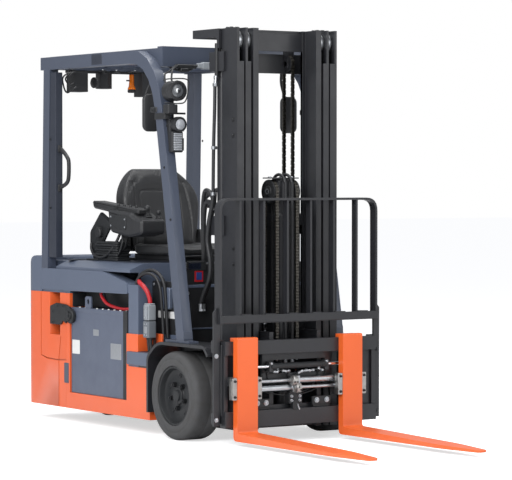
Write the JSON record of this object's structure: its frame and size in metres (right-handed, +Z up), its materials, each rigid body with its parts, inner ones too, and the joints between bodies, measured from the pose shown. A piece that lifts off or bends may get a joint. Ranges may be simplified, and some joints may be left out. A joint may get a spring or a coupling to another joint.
{
  "type": "three-wheel electric counterbalance forklift",
  "caption": "Three-wheel electric counterbalance forklift with a triple-stage mast, side shifter with fork positioner, load backrest and overhead guard.",
  "frame": {"origin": "middle of the footprint on the floor, halfway between the fork tips and the rear of the counterweight", "axes": "+X to the truck's left, +Y to its rear, +Z up; the forks point along -Y"},
  "size_m": [1.058, 3.1402, 2.108],
  "materials": {
    "orange_paint": "gloss",
    "grey_paint": "satin",
    "mast_paint": "satin",
    "steel": "satin",
    "cast_dark": "matte",
    "dark_paint": "matte",
    "tyre_rubber": "matte",
    "black_plastic": "matte",
    "vinyl": "satin",
    "connector_grey": "matte",
    "amber_lens": "gloss",
    "lamp_body": "matte"
  },
  "bodies": {
    "chassis": {"frame_body": "orange_paint", "counterweight": "orange_paint", "rear_cover": "grey_paint", "battery": "grey_paint", "floor_plate": "dark_paint", "dash_panel": "black_plastic", "steering_column": "black_plastic", "drive_axle": "cast_dark", "battery_connector": "connector_grey", "guard_roof": "grey_paint", "roof_module": "black_plastic", "beacon": "amber_lens", "grab_handle": "black_plastic", "side_beam_right": "grey_paint", "battery_stopper_right": "dark_paint", "fender_right": "dark_paint", "guard_side_right": "grey_paint", "front_lamps_right": "lamp_body", "mirror_right": "black_plastic", "side_beam_left": "grey_paint", "battery_stopper_left": "dark_paint", "fender_left": "dark_paint", "guard_side_left": "grey_paint", "front_lamps_left": "lamp_body", "mirror_left": "black_plastic"},
    "hood": {"hood": "grey_paint", "seat_base": "dark_paint", "seat_cushion": "vinyl", "seat_back": "vinyl", "armrest": "black_plastic"},
    "steering_wheel": {"steering_wheel": "black_plastic"},
    "steer_yoke": {"steer_yoke": "cast_dark"},
    "steer_wheels": {"steer_hub": "cast_dark", "steer_tyre_right": "tyre_rubber", "steer_tyre_left": "tyre_rubber"},
    "outer_mast": {"outer_mast": "mast_paint", "lift_cylinder_right": "mast_paint", "lift_cylinder_left": "mast_paint"},
    "middle_mast": {"middle_mast": "mast_paint"},
    "inner_mast": {"inner_mast": "mast_paint", "free_lift_cylinder": "mast_paint", "mast_chains": "steel"},
    "crosshead": {"crosshead": "mast_paint", "carriage_chains": "steel"},
    "carriage": {"carriage": "mast_paint"},
    "side_shifter": {"side_shifter": "mast_paint", "positioner_cylinders": "steel", "backrest": "mast_paint"},
    "drive_wheel_right": {"drive_tyre_right": "tyre_rubber", "drive_rim_right": "dark_paint"},
    "fork_right": {"fork_right": "orange_paint", "fork_clamp_right": "steel"},
    "tilt_barrel_right": {"tilt_barrel_right": "mast_paint"},
    "tilt_rod_right": {"tilt_rod_right": "steel"},
    "drive_wheel_left": {"drive_tyre_left": "tyre_rubber", "drive_rim_left": "dark_paint"},
    "fork_left": {"fork_left": "orange_paint", "fork_clamp_left": "steel"},
    "tilt_barrel_left": {"tilt_barrel_left": "mast_paint"},
    "tilt_rod_left": {"tilt_rod_left": "steel"}
  },
  "joints": [
    {"name": "drive_right_spin", "type": "hinge", "parent": "chassis", "child": "drive_wheel_right", "pos_m": [-0.44, -0.05485, 0.2285], "axis": [1, 0, 0], "continuous": true},
    {"name": "drive_left_spin", "type": "hinge", "parent": "chassis", "child": "drive_wheel_left", "pos_m": [0.44, -0.05485, 0.2285], "axis": [1, 0, 0], "continuous": true},
    {"name": "steer", "type": "hinge", "parent": "chassis", "child": "steer_yoke", "pos_m": [0, 1.34515, 0.19], "axis": [0, 0, 1], "range_deg": [-85, 85]},
    {"name": "steer_wheels_spin", "type": "hinge", "parent": "steer_yoke", "child": "steer_wheels", "pos_m": [0, 1.34515, 0.19], "axis": [1, 0, 0], "continuous": true},
    {"name": "steering_wheel_turn", "type": "hinge", "parent": "chassis", "child": "steering_wheel", "pos_m": [0, 0.23515, 1.25], "axis": [0, 0.4226, 0.9063], "range_deg": [-860, 860]},
    {"name": "hood_open", "type": "hinge", "parent": "chassis", "child": "hood", "pos_m": [0, 1.24115, 0.892], "axis": [-1, 0, 0], "range_deg": [0, 48]},
    {"name": "mast_tilt", "type": "hinge", "parent": "chassis", "child": "outer_mast", "pos_m": [0, -0.05485, 0.2285], "axis": [1, 0, 0], "range_deg": [-5, 5]},
    {"name": "tilt_barrel_right_pivot", "type": "hinge", "parent": "chassis", "child": "tilt_barrel_right", "pos_m": [-0.2, 0.34515, 0.37], "axis": [1, 0, 0], "range_deg": [-1.2, 1.2]},
    {"name": "tilt_rod_right_slide", "type": "slide", "parent": "tilt_barrel_right", "child": "tilt_rod_right", "axis": [0, -0.9892, 0.1467], "range_m": [-0.019, 0.019]},
    {"name": "tilt_barrel_left_pivot", "type": "hinge", "parent": "chassis", "child": "tilt_barrel_left", "pos_m": [0.2, 0.34515, 0.37], "axis": [1, 0, 0], "range_deg": [-1.2, 1.2]},
    {"name": "tilt_rod_left_slide", "type": "slide", "parent": "tilt_barrel_left", "child": "tilt_rod_left", "axis": [0, -0.9892, 0.1467], "range_m": [-0.019, 0.019]},
    {"name": "middle_lift", "type": "slide", "parent": "outer_mast", "child": "middle_mast", "axis": [0, 0, 1], "range_m": [0, 1.62]},
    {"name": "inner_lift", "type": "slide", "parent": "middle_mast", "child": "inner_mast", "axis": [0, 0, 1], "range_m": [0, 1.62]},
    {"name": "free_lift", "type": "slide", "parent": "inner_mast", "child": "crosshead", "axis": [0, 0, 1], "range_m": [0, 0.73], "deforming": ["mast_chains"]},
    {"name": "carriage_lift", "type": "slide", "parent": "crosshead", "child": "carriage", "axis": [0, 0, 1], "range_m": [0, 0.73], "deforming": ["carriage_chains"]},
    {"name": "side_shift", "type": "slide", "parent": "carriage", "child": "side_shifter", "axis": [1, 0, 0], "range_m": [-0.0644, 0.1356]},
    {"name": "fork_right_shift", "type": "slide", "parent": "side_shifter", "child": "fork_right", "axis": [1, 0, 0], "range_m": [-0.005, 0.19]},
    {"name": "fork_left_shift", "type": "slide", "parent": "side_shifter", "child": "fork_left", "axis": [-1, 0, 0], "range_m": [-0.005, 0.19]}
  ],
  "couplings": [
    {"joint": "steering_wheel_turn", "follows": "steer", "ratio": -10},
    {"joint": "inner_lift", "follows": "middle_lift", "ratio": 1},
    {"joint": "carriage_lift", "follows": "free_lift", "ratio": 1},
    {"joint": "fork_left_shift", "follows": "fork_right_shift", "ratio": 1},
    {"joint": "tilt_barrel_right_pivot", "follows": "mast_tilt", "ratio": 0.21428},
    {"joint": "tilt_rod_right_slide", "follows": "mast_tilt", "m_per_rad": 0.19865},
    {"joint": "tilt_barrel_left_pivot", "follows": "mast_tilt", "ratio": 0.21428},
    {"joint": "tilt_rod_left_slide", "follows": "mast_tilt", "m_per_rad": 0.19865}
  ]
}
